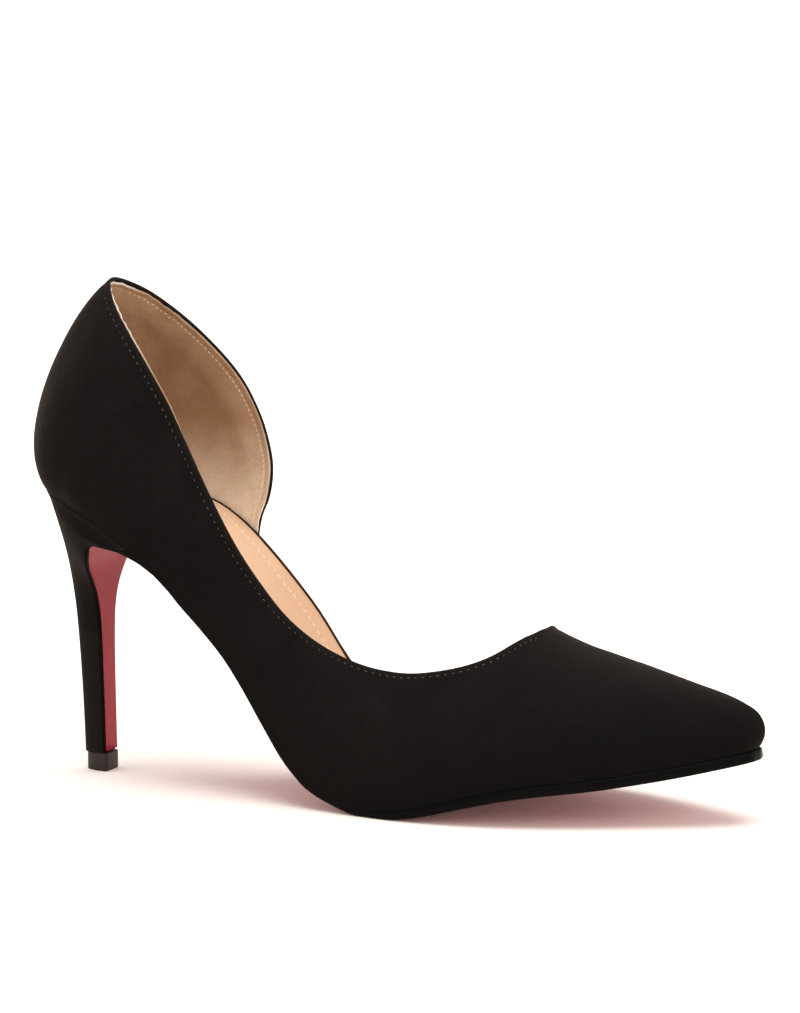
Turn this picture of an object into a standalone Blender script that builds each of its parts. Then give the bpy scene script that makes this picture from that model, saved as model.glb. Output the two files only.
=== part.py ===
"""Asymmetric pump, a right shoe, in metres with +X to the toe, +Y to the inner side and +Z up.

The tables give millimetres, with x counted from the back of the heel and z from the floor.
A station s runs from the toe tip (0) to the back of the heel (1) along each side of the last.
"""
import bmesh
import bpy
import numpy as np

# Driving dimensions in millimetres
WALL = 1.8
SEAM = 0.3
SOLE_EDGE = 0.9
SOLE_THICK = 2.6
SOCK_THICK = 2.0
ARCH_PAD = 4.2
LIFT_HIGH = 5.7
LIFT_BACK = 13.5
LIFT_LONG = 8.1
LIFT_HALF = 4.45
SEAT_FRONT = 36.5
SEAT_MIDDLE = (22.0, 0.0)
CENTRE = (117.70, -0.52, 0.0)
THROAT = 0.36

# Feather line, where the upper meets the sole: station, x, outer y, inner y
FEATHER = (
    (0.000, 237.4, 1.5, 1.5),
    (0.012, 236.4, -2.3, 5.2),
    (0.030, 232.6, -5.8, 8.8),
    (0.060, 226.0, -9.8, 12.6),
    (0.140, 208.5, -19.0, 22.0),
    (0.240, 187.0, -28.8, 31.4),
    (0.340, 166.0, -35.6, 36.6),
    (0.440, 144.0, -38.0, 35.8),
    (0.540, 121.0, -36.4, 30.6),
    (0.640, 98.0, -32.2, 26.0),
    (0.740, 74.0, -27.6, 23.8),
    (0.830, 51.0, -25.4, 23.8),
    (0.900, 31.0, -24.8, 24.4),
    (0.945, 17.0, -21.0, 21.0),
    (0.980, 5.6, -12.6, 12.6),
    (1.000, 1.0, 0.0, 0.0),
)

# Height of the feather line on the outer side, and how much higher the arch side lies
LAST_BOTTOM = (
    (1.0, 91.3, 0.0),
    (16.5, 87.0, 0.8),
    (27.5, 82.4, 2.4),
    (37.0, 76.8, 4.8),
    (46.5, 71.6, 6.6),
    (56.0, 65.0, 7.0),
    (68.0, 54.2, 7.0),
    (78.0, 43.2, 7.0),
    (86.5, 31.6, 6.8),
    (95.5, 19.8, 5.6),
    (104.0, 10.6, 3.4),
    (112.0, 5.6, 1.4),
    (119.0, 3.0, 0.0),
    (121.0, 2.85, 0.0),
    (131.0, 2.85, 0.0),
    (133.5, 3.15, 0.0),
    (144.0, 6.0, 0.0),
    (155.0, 8.8, 0.0),
    (167.0, 11.2, 0.0),
    (196.0, 15.0, 0.0),
    (214.0, 18.0, 0.0),
    (237.4, 22.9, 0.0),
)

# Ridge of the last from the toe over the throat and up the instep: station, x, y, z
RIDGE = (
    (0.00, 230.8, 2.4, 36.0),
    (0.06, 222.3, 2.8, 39.0),
    (0.14, 206.0, 3.2, 43.2),
    (0.24, 187.0, 3.6, 48.0),
    (0.30, 177.5, 3.8, 51.0),
    (0.36, 168.7, 4.0, 55.0),
    (0.42, 160.0, 4.2, 60.0),
    (0.50, 147.0, 4.6, 69.0),
    (0.60, 130.0, 5.0, 83.0),
)

# Topline of the closed outer side
OUTER_TOP = (
    (0.360, 168.7, 4.0, 55.0),
    (0.366, 167.0, -2.5, 55.0),
    (0.378, 164.0, -9.0, 53.4),
    (0.394, 160.3, -15.4, 51.0),
    (0.414, 155.0, -20.8, 48.2),
    (0.440, 147.0, -24.4, 45.2),
    (0.490, 136.0, -26.6, 43.1),
    (0.540, 125.5, -27.2, 44.0),
    (0.600, 113.0, -27.4, 47.1),
    (0.650, 102.5, -26.6, 51.6),
    (0.700, 92.5, -25.4, 58.4),
    (0.740, 85.0, -24.4, 66.0),
    (0.790, 75.0, -23.2, 78.6),
    (0.830, 66.5, -22.2, 92.4),
    (0.870, 57.6, -20.7, 108.4),
    (0.900, 50.5, -19.3, 120.8),
    (0.930, 42.2, -17.4, 132.6),
    (0.955, 35.0, -14.6, 141.6),
    (0.980, 27.0, -8.8, 150.5),
    (1.000, 22.5, 0.0, 155.4),
)

# Topline of the cut-away inner side: vamp wing, strip along the arch, rounded quarter flap
INNER_TOP = (
    (0.360, 168.7, 4.0, 55.0),
    (0.366, 167.0, 10.5, 53.4),
    (0.378, 164.2, 15.6, 50.2),
    (0.394, 160.6, 20.4, 45.6),
    (0.414, 156.0, 24.2, 40.6),
    (0.440, 149.5, 27.4, 35.0),
    (0.490, 136.5, 29.2, 28.2),
    (0.540, 124.0, 28.4, 24.6),
    (0.590, 111.5, 26.8, 24.8),
    (0.640, 99.5, 25.4, 30.0),
    (0.690, 86.6, 24.4, 45.4),
    (0.740, 73.6, 24.0, 62.2),
    (0.770, 66.6, 24.0, 69.2),
    (0.786, 62.4, 24.0, 73.4),
    (0.798, 63.6, 23.4, 78.6),
    (0.815, 66.2, 22.6, 86.0),
    (0.838, 67.6, 22.0, 95.0),
    (0.862, 66.6, 21.6, 103.6),
    (0.886, 63.4, 20.8, 114.0),
    (0.910, 57.4, 19.8, 125.0),
    (0.934, 48.0, 18.2, 135.6),
    (0.958, 37.4, 15.0, 145.4),
    (0.980, 28.2, 9.2, 152.3),
    (1.000, 22.5, 0.0, 155.4),
)

# Lean of the wall out of its seam at the sole, lean at the topline (outer, inner) and fullness
WALL_LEAN = (
    (0.00, 18.0, -66.0, -66.0, 0.42),
    (0.06, 12.0, -86.0, -86.0, 0.42),
    (0.14, 10.0, -88.0, -88.0, 0.42),
    (0.26, 10.0, -88.0, -88.0, 0.40),
    (0.36, 10.0, -80.0, -80.0, 0.38),
    (0.40, 11.0, -56.0, -52.0, 0.37),
    (0.44, 11.0, -44.0, -34.0, 0.36),
    (0.54, 11.0, -28.0, -14.0, 0.35),
    (0.64, 10.0, -14.0, -6.0, 0.34),
    (0.76, 8.0, -8.0, -4.0, 0.34),
    (0.83, 9.0, -10.0, -8.0, 0.34),
    (0.90, 16.0, -15.0, -13.0, 0.35),
    (0.95, 31.0, -35.0, -33.0, 0.31),
    (1.00, 40.0, -58.0, -58.0, 0.27),
)

# Columns of the upper's grid on one side: number, station
COLUMNS = (
    (0, 0.0),
    (6, 0.05),
    (16, 0.325),
    (19, 0.36),
    (24, 0.414),
    (34, 0.73),
    (37, 0.786),
    (45, 0.91),
    (52, 1.0),
)
WALL_ROWS = 9

# Sections of the sole and the sock from the toe to the heel: number, station
SECTIONS = (
    (0, 0.0),
    (4, 0.012),
    (9, 0.06),
    (23, 0.497),
    (25, 0.54),
    (35, 0.868),
    (38, 0.945),
    (44, 1.0),
)
LAST_SOLE_SECTION = 35

# Share of the arch pad along the foot: x, share
PAD_SHARE = (
    (0.0, 0.0),
    (20.0, 0.0),
    (44.0, 0.9),
    (58.0, 1.0),
    (72.0, 0.75),
    (86.0, 0.6),
    (98.0, 0.4),
    (114.0, 0.0),
    (240.0, 0.0),
)

# Sole from its last full section to the end of the flap on the heel breast:
# x, z, outer half width, inner half width, thickness
BREAST = (
    (34.0, 74.0, 22.8, 23.2, 2.2),
    (28.5, 74.0, 20.6, 21.6, 1.9),
    (24.0, 72.6, 18.4, 20.0, 1.6),
    (21.3, 70.0, 16.2, 18.2, 1.3),
    (19.9, 66.2, 13.2, 15.0, 1.2),
    (19.4, 62.0, 9.8, 11.0, 1.2),
    (19.3, 57.2, 6.9, 7.4, 1.2),
    (19.5, 51.0, 5.4, 5.5, 1.2),
    (19.8, 45.0, 4.9, 4.9, 1.2),
    (20.3, 32.5, 4.65, 4.65, 1.2),
    (20.8, 20.0, 4.5, 4.5, 1.2),
    (21.3, 6.1, 4.4, 4.4, 1.2),
)

# Heel sections under the seat, one for each row of the breast after the first:
# back x, back z, outer half width, inner half width
HEEL = (
    (1.7, 88.6, 24.2, 24.2),
    (3.1, 86.0, 21.8, 22.6),
    (4.7, 82.2, 18.6, 20.2),
    (6.3, 76.8, 15.0, 16.6),
    (7.7, 70.6, 11.2, 12.4),
    (8.6, 63.8, 8.0, 8.6),
    (9.9, 55.0, 5.9, 6.1),
    (10.7, 47.5, 5.2, 5.2),
    (11.8, 33.0, 4.8, 4.8),
    (12.4, 20.0, 4.6, 4.6),
    (12.9, 6.0, 4.5, 4.5),
)


def smooth(table, at):
    """Cubic through the rows of a table, read at the values of its first column."""
    rows = np.asarray(table, float)
    knots = rows[:, 0]
    values = rows[:, 1:]
    at = np.clip(np.atleast_1d(np.asarray(at, float)), knots[0], knots[-1])
    step = np.diff(knots)
    slope = np.diff(values, axis=0) / step[:, None]
    share = (step[1:] / (step[:-1] + step[1:]))[:, None]
    tangent = np.empty_like(values)
    tangent[1:-1] = slope[:-1] * share + slope[1:] * (1.0 - share)
    tangent[0] = 1.5 * slope[0] - 0.5 * tangent[1]
    tangent[-1] = 1.5 * slope[-1] - 0.5 * tangent[-2]
    low = np.clip(np.searchsorted(knots, at, side="right") - 1, 0, len(knots) - 2)
    t = ((at - knots[low]) / step[low])[:, None]
    h = step[low][:, None]
    return (
        (1 + 2 * t) * (1 - t) ** 2 * values[low]
        + t * (1 - t) ** 2 * h * tangent[low]
        + t * t * (3 - 2 * t) * values[low + 1]
        + t * t * (t - 1) * h * tangent[low + 1]
    )


def stations(table):
    """Station of every section, evenly spaced between the numbered rows of a table."""
    rows = np.asarray(table)
    return np.interp(np.arange(rows[-1, 0] + 1), rows[:, 0], rows[:, 1])


def unit(vectors):
    return vectors / np.linalg.norm(vectors, axis=-1, keepdims=True)


def past_ends(table, other):
    """Table continued past toe and heel with the rows of the other side, so both ends come out round."""
    table = np.asarray(table, float)
    other = np.asarray(other, float)
    before = other[3:0:-1].copy()
    before[:, 0] *= -1
    after = other[-2:-5:-1].copy()
    after[:, 0] = 2 - after[:, 0]
    return before, table, after


def outline(side, s, grow=0.0):
    """Feather line in plan with its outward direction."""
    rows = np.asarray(FEATHER)
    own = rows[:, (0, 1, 2)] if side < 0 else rows[:, (0, 1, 3)]
    other = rows[:, (0, 1, 3)] if side < 0 else rows[:, (0, 1, 2)]
    table = np.concatenate(past_ends(own, other))
    s = np.atleast_1d(np.asarray(s, float))
    place = smooth(table, s)
    along = unit(smooth(table, s + 1e-4) - smooth(table, s - 1e-4))
    out = np.stack([-along[:, 1], along[:, 0]], -1) * -side
    return place + out * grow, out


def topline(side, s):
    own, other = (OUTER_TOP, INNER_TOP) if side < 0 else (INNER_TOP, OUTER_TOP)
    return smooth(np.concatenate(past_ends(own, other)[1:]), s)


def base_height(x, y):
    """Bottom of the last over a place in plan, level across or raised towards the arch."""
    x = np.asarray(x, float)
    height = smooth(LAST_BOTTOM, x.ravel()).reshape(x.shape + (2,))
    width = smooth([(row[1], row[2], row[3]) for row in FEATHER[::-1]], x.ravel()).reshape(x.shape + (2,))
    span = np.maximum(width[..., 1] - width[..., 0], 1.0)
    across = np.clip((y - width[..., 0]) / span, 0.0, 1.0)
    return height[..., 0] + height[..., 1] * across


def stretch(x):
    """Ratio of a vertical offset to the offset square to the sloping bottom."""
    slope = base_height(x + 0.5, 0 * x) - base_height(x - 0.5, 0 * x)
    return np.sqrt(1.0 + slope ** 2)


def arc(foot, first, second, top, t):
    """Cubic arcs between foot and top points, one per row, at the given shares."""
    foot, first, second, top = (p[:, None, :] for p in (foot, first, second, top))
    t = t[..., None]
    return (1 - t) ** 3 * foot + 3 * t * (1 - t) ** 2 * first + 3 * t * t * (1 - t) * second + t ** 3 * top


def wall_arc(foot, out, top, top_out, low, high, fullness, t):
    """Wall from the feather line to a ridge or topline with the given leans in degrees."""
    chord = top - foot
    rise = unit(chord - out * np.sum(chord * out, -1, keepdims=True))
    top_rise = unit(chord - top_out * np.sum(chord * top_out, -1, keepdims=True))
    low = np.radians(low)[:, None]
    high = np.radians(high)[:, None]
    reach = np.linalg.norm(chord, axis=-1, keepdims=True) * fullness[:, None]
    first = foot + reach * (rise * np.cos(low) + out * np.sin(low))
    second = top - reach * (top_rise * np.cos(high) + top_out * np.sin(high))
    return arc(foot, first, second, top, t)


def upper_wall(side, s):
    """Points of the wall from the feather line to the ridge or topline, a column per station."""
    plan, out = outline(side, s)
    foot = np.column_stack([plan, base_height(plan[:, 0], plan[:, 1])])
    out = np.column_stack([out, 0 * s])
    lean = smooth(WALL_LEAN, s)
    turn = np.clip(s / 0.10, 0.0, 1.0)
    turn = turn * turn * (3 - 2 * turn) * np.pi / 2
    cross = np.column_stack([np.cos(turn), side * np.sin(turn), 0 * s])
    rows = np.linspace(0.0, 1.0, WALL_ROWS + 1)
    ridge = smooth(RIDGE, s)
    rim = topline(side, s)
    rim_lean = lean[:, 1] if side < 0 else lean[:, 2]
    ridge_lean = np.where(s < 0.2, rim_lean, -88.0)
    fine = np.linspace(0.0, 1.0, 201)[None, :] + 0 * s[:, None]
    full = wall_arc(foot, out, ridge, cross, lean[:, 0], ridge_lean, lean[:, 3], fine)
    near = fine[0][np.argmin(np.linalg.norm(full - rim[:, None, :], axis=-1), axis=1)]
    share = np.where(s <= THROAT, 1.0, near)[:, None] * rows[None, :]
    vamp = wall_arc(foot, out, ridge, cross, lean[:, 0], ridge_lean, lean[:, 3], share)
    even = rows[None, :] + 0 * s[:, None]
    quarter = wall_arc(foot, out, rim, out, lean[:, 0], rim_lean, lean[:, 3], even)
    blend = np.clip((s - 0.40) / 0.16, 0.0, 1.0)
    blend = (blend * blend * (3 - 2 * blend))[:, None, None]
    return vamp * (1 - blend) + quarter * blend


def grid_mesh(points):
    """Blender grid whose vertices are moved to the given rows and columns of points."""
    across, up = points.shape[0] - 1, points.shape[1] - 1
    bm = bmesh.new()
    bmesh.ops.create_grid(bm, x_segments=across, y_segments=up, size=0.5)
    for vert in bm.verts:
        column = round((vert.co.x + 0.5) * across)
        row = round((vert.co.y + 0.5) * up)
        vert.co = (points[column, row] - CENTRE) * 0.001
    bmesh.ops.remove_doubles(bm, verts=bm.verts, dist=0.00005)
    return bm


def loft(rings):
    """Closed body through rings of points, with its open ends filled."""
    closed = np.concatenate([rings, rings[:, :1]], axis=1)
    bm = grid_mesh(closed)
    ends = bmesh.ops.holes_fill(bm, edges=bm.edges, sides=0)["faces"]
    bmesh.ops.triangulate(bm, faces=ends)
    bmesh.ops.recalc_face_normals(bm, faces=bm.faces)
    return bm


def colour(name, rgb, roughness):
    material = bpy.data.materials.new(name)
    material.use_nodes = True
    shader = material.node_tree.nodes["Principled BSDF"]
    shader.inputs["Base Color"].default_value = (*rgb, 1.0)
    shader.inputs["Roughness"].default_value = roughness
    return material


def add_object(name, bm, material, group):
    mesh = bpy.data.meshes.new(name)
    bm.to_mesh(mesh)
    bm.free()
    mesh.materials.append(material)
    mesh.shade_smooth()
    piece = bpy.data.objects.new(name, mesh)
    group.objects.link(piece)
    return piece


def make_upper():
    s = stations(COLUMNS)
    outer = upper_wall(-1, s)
    inner = upper_wall(1, s[::-1])
    bm = grid_mesh(np.concatenate([outer, inner[1:]]))
    bmesh.ops.recalc_face_normals(bm, faces=bm.faces)
    return bm


def ring_across(lower, upper):
    """Ring of a flat section: along its lower face and back along its upper face."""
    return np.concatenate([lower, upper[::-1]])


def breast_inward():
    """Direction from the face of the flap into the heel, for each row of the breast."""
    path = np.asarray(BREAST)[:, :2]
    along = unit(np.gradient(path, axis=0))
    return np.column_stack([along[:, 1], 0 * along[:, 0], -along[:, 0]])


def twist(x, z):
    """Rise of the seat's arch side over its outer side, dying out down the heel."""
    return smooth(LAST_BOTTOM, x)[0, 1] * np.clip((z - 55.0) / 18.0, 0.0, 1.0)


def make_outsole():
    across = np.linspace(0.0, 1.0, 9)
    rings = []
    for s in stations(SECTIONS)[:LAST_SOLE_SECTION + 1]:
        left = outline(-1, [s], SOLE_EDGE)[0][0]
        right = outline(1, [s], SOLE_EDGE)[0][0]
        plan = left + (right - left) * across[:, None]
        top = base_height(plan[:, 0], plan[:, 1]) - SEAM * stretch(plan[:, 0])
        ahead = base_height(plan[:, 0] + 0.5, plan[:, 1])
        slope = (ahead - base_height(plan[:, 0] - 0.5, plan[:, 1]))[:, None]
        down = unit(np.column_stack([slope, 0 * slope, -np.ones_like(slope)]))
        upper = np.column_stack([plan, top])
        lower = upper + down * SOLE_THICK
        lower[:, 2] = np.maximum(lower[:, 2], 0.0)
        rings.append(ring_across(lower, upper))
    for row, inward in zip(BREAST, breast_inward()):
        x, z, outer, inner, thick = row
        side = -outer + (outer + inner) * across
        lower = np.column_stack([x + 0 * side, side, z + twist(x, z) * across])
        rings.append(ring_across(lower, lower + inward * thick))
    return loft(np.array(rings))


def make_insole():
    across = np.linspace(0.0, 1.0, 9)
    rings = []
    for s in stations(SECTIONS):
        left = outline(-1, [s], -(WALL + 1.5 * SEAM))[0][0]
        right = outline(1, [s], -(WALL + 1.5 * SEAM))[0][0]
        plan = left + (right - left) * across[:, None]
        base = base_height(plan[:, 0], plan[:, 1])
        pad = smooth(PAD_SHARE, plan[:, 0])[:, 0]
        thick = (SOCK_THICK + ARCH_PAD * pad * across ** 1.5) * stretch(plan[:, 0])
        lower = np.column_stack([plan, base])
        upper = np.column_stack([plan, base + thick])
        rings.append(ring_across(lower, upper))
    return loft(np.array(rings))


def d_section(count):
    """Half-round back and flat front in unit size: distance from the back and share of the half width."""
    angle = np.linspace(-0.5, 0.5, count) * np.pi
    return 1.0 - np.cos(angle), np.sin(angle)


def make_heel():
    turns = 25
    rings = []
    s_front = np.interp(SEAT_FRONT, [row[1] for row in FEATHER[::-1]], [row[0] for row in FEATHER[::-1]])
    s = np.interp(np.abs(np.linspace(-1, 1, turns)), (0, 1), (1.0, s_front))
    half = turns // 2
    plan = np.concatenate([outline(-1, s[:half])[0], outline(1, s[half:])[0]])
    for size in (0.4, 1.0):
        seat = SEAT_MIDDLE + (plan - SEAT_MIDDLE) * size
        top = base_height(seat[:, 0], seat[:, 1]) - SEAM * stretch(seat[:, 0])
        rings.append(np.column_stack([seat, top]))
    back, wide = d_section(turns)
    for section, row, inward in zip(HEEL, BREAST[1:], breast_inward()[1:]):
        back_x, back_z, outer, inner = section
        front = np.array([row[0], 0.0, row[1]]) + inward * (row[4] + SEAM)
        x = back_x + (front[0] - back_x) * back
        z = back_z + (front[2] - back_z) * back + twist(row[0], row[1]) * (wide + 1) / 2
        rings.append(np.column_stack([x, np.where(wide < 0, outer, inner) * wide, z]))
    return loft(np.array(rings))


def make_top_lift():
    back, wide = d_section(25)
    x = LIFT_BACK + LIFT_LONG * back
    rings = [np.column_stack([x, LIFT_HALF * wide, z + 0 * x]) for z in (0.0, LIFT_HIGH)]
    return loft(np.array(rings))


def main():
    for piece in list(bpy.data.objects):
        bpy.data.objects.remove(piece, do_unlink=True)
    group = bpy.data.collections.new("asymmetric_pump")
    bpy.context.scene.collection.children.link(group)
    upper = add_object("upper", make_upper(), colour("black_suede", (0.012, 0.011, 0.010), 0.9), group)
    shell = upper.modifiers.new("wall", "SOLIDIFY")
    shell.thickness = WALL * 0.001
    shell.offset = -1.0
    shell.use_even_offset = True
    add_object("insole", make_insole(), colour("peach_sock", (0.80, 0.52, 0.36), 0.6), group)
    add_object("outsole", make_outsole(), colour("raspberry_sole", (0.34, 0.035, 0.07), 0.4), group)
    add_object("heel", make_heel(), colour("heel_suede", (0.012, 0.011, 0.010), 0.9), group)
    add_object("top_lift", make_top_lift(), colour("black_lift", (0.01, 0.01, 0.01), 0.2), group)


main()
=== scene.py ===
"""Looks of a right asymmetric pump: black suede upper, beige lining, peach sock, raspberry sole, slim heel.

Lengths in the tables are millimetres, x from the back of the heel and z from the floor, as in the part's
source. A station s runs from the toe tip (0) to the back of the heel (1) along each side of the last. The
closed outer side is at -y, and the cut-away inner side, over the arch, is at +y.
"""

import bmesh
import bpy
import numpy as np
from mathutils import Matrix, Vector
from mathutils.bvhtree import BVHTree


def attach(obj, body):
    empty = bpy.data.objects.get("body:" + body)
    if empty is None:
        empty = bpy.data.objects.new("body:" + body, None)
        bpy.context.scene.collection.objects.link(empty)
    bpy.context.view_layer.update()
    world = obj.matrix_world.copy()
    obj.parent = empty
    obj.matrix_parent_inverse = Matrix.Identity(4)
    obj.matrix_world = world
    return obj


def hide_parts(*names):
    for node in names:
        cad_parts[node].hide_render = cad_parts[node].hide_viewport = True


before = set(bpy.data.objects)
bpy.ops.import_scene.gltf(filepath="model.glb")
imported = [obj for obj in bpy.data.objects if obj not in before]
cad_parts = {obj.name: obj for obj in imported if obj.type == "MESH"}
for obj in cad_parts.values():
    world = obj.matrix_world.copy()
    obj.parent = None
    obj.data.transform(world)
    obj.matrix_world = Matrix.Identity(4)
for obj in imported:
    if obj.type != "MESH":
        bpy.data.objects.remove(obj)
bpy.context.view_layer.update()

# Metres in a millimetre, and the part's origin in the tables
MM = 0.001
CENTRE = np.array((117.70, -0.52, 0.0))

# The two sides, the middle of the vamp that parts them in y, and the station where the toplines meet
OUTER = -1
INNER = 1
VAMP_MIDDLE = 2.0
THROAT = 0.36

# Thickness of the layers and the gaps between them
SUEDE_THICK = 0.8
LINING_GAP = 0.05
LINING_THICK = 0.7
SOCK_THICK = 2.0
ARCH_PAD = 4.2
SEAM = 0.3
FLAP_GAP = 0.1

# Top lift: height, back end, length and half width
LIFT_HIGH = 5.7
LIFT_BACK = 13.15
LIFT_LONG = 8.6
LIFT_HALF = 4.45

# Heel seat: front end, middle, sizes of its rings within its edge, and how far its edge is rounded down
SEAT_FRONT = 39.4
SEAT_MIDDLE = np.array((22.0, 0.0))
SEAT_RINGS = (0.4, 0.97, 1.0)
SEAT_ROUND = 0.2

# Rounding of the lower and the upper edge of the sole and the sock
SOLE_ROUND = (1.2, 0.9)
SOCK_ROUND = (0.3, 0.7)

# Rounding of the lift's corners and rims, each with its steps, and the angle past which an edge is rounded
LIFT_CORNERS = (1.2, 5)
LIFT_RIMS = (0.3, 3)
LIFT_SHARP = 40.0

# Rounding of a cut edge as a share of its wall's thickness, its steps, and the angle past which it is rounded
CUT_ROUND = 0.32
CUT_STEPS = 3
CUT_SHARP = 55.0

# Largest rounding of a sheet's edge: share of the sheet's width, and shares of its thickness across and up
ROUND_BY_WIDTH = 0.45
ROUND_ACROSS = 0.375
ROUND_UP = 0.48

# Feather line, where the upper meets the sole: station, x, outer y, inner y
FEATHER = (
    (0.000, 236.6, 1.5, 1.5),
    (0.012, 235.6, -2.3, 5.2),
    (0.030, 232.6, -5.8, 8.8),
    (0.060, 226.0, -9.8, 12.6),
    (0.140, 208.5, -19.0, 22.0),
    (0.240, 187.0, -28.8, 31.4),
    (0.340, 166.0, -35.6, 36.6),
    (0.440, 144.0, -38.0, 35.8),
    (0.540, 121.0, -36.4, 30.6),
    (0.640, 98.0, -32.2, 26.0),
    (0.740, 74.0, -27.6, 23.8),
    (0.830, 51.0, -25.4, 23.8),
    (0.900, 31.0, -24.8, 24.4),
    (0.945, 17.0, -21.0, 21.0),
    (0.980, 5.6, -12.6, 12.6),
    (1.000, 1.0, 0.0, 0.0),
)

# Height of the feather line on the outer side, and how much higher the arch side lies: x, both
LAST_BOTTOM = (
    (1.0, 91.3, 0.0),
    (16.5, 87.0, 0.8),
    (27.5, 82.4, 2.4),
    (37.0, 76.8, 4.8),
    (46.5, 71.6, 6.6),
    (56.0, 65.0, 7.0),
    (68.0, 54.2, 7.0),
    (78.0, 43.2, 7.0),
    (86.5, 31.6, 6.8),
    (95.5, 19.8, 5.6),
    (104.0, 10.6, 3.4),
    (112.0, 5.6, 1.4),
    (119.0, 3.0, 0.0),
    (121.0, 2.85, 0.0),
    (131.0, 2.85, 0.0),
    (133.5, 3.1, 0.0),
    (144.0, 5.3, 0.0),
    (155.0, 8.4, 0.0),
    (167.0, 11.4, 0.0),
    (196.0, 15.6, 0.0),
    (214.0, 18.6, 0.0),
    (236.6, 23.3, 0.0),
)

# Ridge of the last from the toe over the throat and up the instep: station, x, y, z
RIDGE = (
    (0.00, 232.6, 2.4, 36.0),
    (0.06, 222.3, 2.8, 39.15),
    (0.14, 206.0, 3.2, 43.4),
    (0.24, 187.0, 3.6, 48.15),
    (0.30, 177.2, 3.8, 50.7),
    (0.36, 167.2, 4.0, 54.8),
    (0.42, 160.0, 4.2, 60.0),
    (0.50, 147.0, 4.6, 69.0),
    (0.60, 130.0, 5.0, 83.0),
)

# Topline of the closed outer side: station, x, y, z
OUTER_TOP = (
    (0.360, 167.2, 4.0, 54.8),
    (0.366, 165.6, -2.5, 55.2),
    (0.378, 162.4, -8.6, 54.7),
    (0.394, 158.4, -14.6, 53.1),
    (0.414, 153.2, -20.0, 50.6),
    (0.440, 146.0, -24.0, 47.7),
    (0.490, 135.6, -26.6, 44.0),
    (0.540, 125.5, -27.2, 44.0),
    (0.600, 113.0, -27.4, 47.1),
    (0.650, 102.5, -26.6, 51.6),
    (0.700, 92.5, -25.4, 58.4),
    (0.740, 85.0, -24.4, 66.0),
    (0.790, 75.0, -23.2, 78.6),
    (0.830, 66.5, -22.2, 92.4),
    (0.870, 57.6, -20.7, 108.4),
    (0.900, 50.5, -19.3, 120.8),
    (0.930, 42.2, -17.4, 132.6),
    (0.955, 35.0, -14.6, 141.6),
    (0.980, 26.8, -8.8, 151.0),
    (1.000, 22.6, 0.0, 156.2),
)

# Topline of the cut-away inner side, over vamp wing, strip along the arch and quarter flap: station, x, y, z
INNER_TOP = (
    (0.360, 167.2, 4.0, 54.8),
    (0.366, 165.4, 10.0, 52.4),
    (0.378, 162.8, 14.6, 49.2),
    (0.394, 160.6, 20.4, 45.6),
    (0.414, 156.0, 24.2, 40.6),
    (0.440, 149.5, 27.4, 35.0),
    (0.490, 136.5, 29.2, 28.2),
    (0.540, 124.0, 28.4, 24.6),
    (0.590, 111.5, 26.8, 24.5),
    (0.640, 99.5, 25.4, 28.2),
    (0.690, 86.6, 24.4, 44.7),
    (0.740, 73.6, 24.0, 61.6),
    (0.770, 66.4, 24.0, 68.2),
    (0.786, 61.9, 24.0, 71.6),
    (0.798, 62.9, 23.3, 78.6),
    (0.815, 66.0, 22.6, 86.0),
    (0.838, 67.6, 22.0, 95.0),
    (0.862, 66.6, 21.6, 103.6),
    (0.886, 63.4, 20.8, 114.0),
    (0.910, 57.4, 19.8, 125.0),
    (0.934, 48.0, 18.2, 135.6),
    (0.958, 37.4, 15.0, 145.4),
    (0.980, 28.2, 9.2, 152.8),
    (1.000, 22.6, 0.0, 156.2),
)

# Wall of the upper: station, lean in degrees at the sole, leans at the outer and the inner topline, fullness
WALL_LEAN = (
    (0.00, 40.0, -74.0, -74.0, 0.45),
    (0.06, 12.0, -86.0, -86.0, 0.42),
    (0.14, 10.0, -88.0, -88.0, 0.42),
    (0.26, 10.0, -88.0, -88.0, 0.40),
    (0.36, 10.0, -80.0, -80.0, 0.38),
    (0.40, 11.0, -56.0, -52.0, 0.37),
    (0.44, 11.0, -44.0, -34.0, 0.36),
    (0.54, 11.0, -28.0, -14.0, 0.35),
    (0.64, 10.0, -14.0, -6.0, 0.34),
    (0.76, 8.0, -8.0, -4.0, 0.34),
    (0.83, 9.0, -10.0, -8.0, 0.34),
    (0.90, 16.0, -15.0, -13.0, 0.35),
    (0.95, 31.0, -35.0, -33.0, 0.31),
    (1.00, 45.0, -57.0, -57.0, 0.257),
)

# Station by which the wall's top has turned from facing ahead at the toe to facing sideways
TOE_TURN = 0.10

# Station up to which the table's lean holds at the ridge, and the lean there past it
TOE_LEAN = 0.2
RIDGE_LEAN = -88.0

# Stations between which the wall changes from one that runs on to the ridge to one that ends at its topline
QUARTER_BLEND = (0.40, 0.56)

# Columns of the upper's grid on one side: number, station; and how many finer ones each gives
COLUMNS = (
    (0, 0.0),
    (6, 0.05),
    (16, 0.325),
    (19, 0.36),
    (24, 0.414),
    (34, 0.73),
    (37, 0.786),
    (45, 0.91),
    (52, 1.0),
)
COLUMN_SPLIT = 4

# Rows of the upper's grid next to the topline, as distances from it, and number of rows below them
EDGE_ROWS = (0.0, 0.5, 1.1, 1.7, 2.2, 2.6, 3.0, 3.4, 3.8, 4.4, 5.4, 7.0)
BODY_ROWS = 30

# Length under which a wall has its edge rows closed up, and how far its foot goes below the sole's top
EDGE_SPAN = 12.0
TUCK = 0.05

# Sections of the sole and the sock from toe to heel: number, station; and the last one before the breast
SECTIONS = (
    (0, 0.0),
    (4, 0.012),
    (9, 0.06),
    (23, 0.497),
    (25, 0.54),
    (35, 0.868),
    (38, 0.945),
    (44, 1.0),
)
LAST_SOLE_SECTION = 35

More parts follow.
